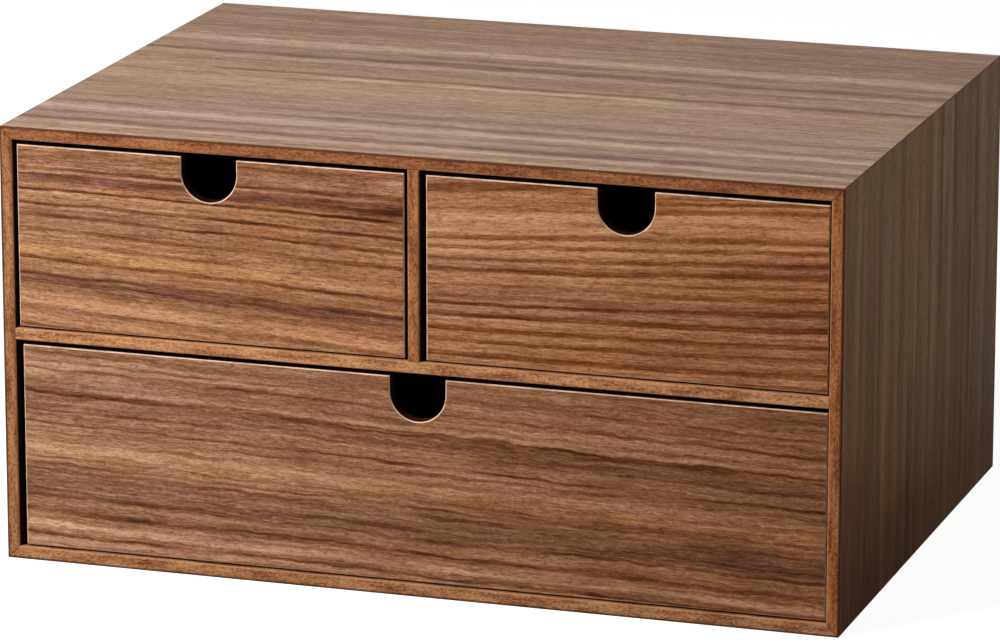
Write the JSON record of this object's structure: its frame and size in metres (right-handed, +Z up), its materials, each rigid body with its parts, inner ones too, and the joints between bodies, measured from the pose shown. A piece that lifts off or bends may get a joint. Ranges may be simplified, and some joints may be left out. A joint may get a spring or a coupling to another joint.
{
  "type": "desktop drawer unit",
  "caption": "Walnut-faced desktop case with small drawers side by side above a full-width drawer, each front with a U-shaped finger notch in its top edge.",
  "frame": {"origin": "middle of the underside of the case, on the surface that it stands on", "axes": "+X to the right as seen from the front, +Y towards the rear, +Z up; the drawers face -Y"},
  "size_m": [0.33, 0.24, 0.17],
  "materials": {
    "case_board": "satin walnut veneer",
    "drawer_front": "satin walnut veneer",
    "inner_board": "satin stained board",
    "drawer_wall": "matte stained board",
    "thin_panel": "matte hardboard"
  },
  "bodies": {
    "case": {"top_panel": "case_board", "bottom_panel": "case_board", "left_side_panel": "case_board", "right_side_panel": "case_board", "back_panel": "thin_panel", "shelf": "inner_board", "centre_divider": "inner_board"},
    "left_drawer": {"left_drawer_front": "drawer_front", "left_drawer_left_side": "drawer_wall", "left_drawer_right_side": "drawer_wall", "left_drawer_back": "drawer_wall", "left_drawer_bottom": "thin_panel"},
    "right_drawer": {"right_drawer_front": "drawer_front", "right_drawer_left_side": "drawer_wall", "right_drawer_right_side": "drawer_wall", "right_drawer_back": "drawer_wall", "right_drawer_bottom": "thin_panel"},
    "wide_drawer": {"wide_drawer_front": "drawer_front", "wide_drawer_left_side": "drawer_wall", "wide_drawer_right_side": "drawer_wall", "wide_drawer_back": "drawer_wall", "wide_drawer_bottom": "thin_panel"}
  },
  "joints": [
    {"name": "left_drawer_slide", "type": "slide", "parent": "case", "child": "left_drawer", "axis": [0, -1, 0], "range_m": [0, 0.175]},
    {"name": "right_drawer_slide", "type": "slide", "parent": "case", "child": "right_drawer", "axis": [0, -1, 0], "range_m": [0, 0.175]},
    {"name": "wide_drawer_slide", "type": "slide", "parent": "case", "child": "wide_drawer", "axis": [0, -1, 0], "range_m": [0, 0.175]}
  ]
}
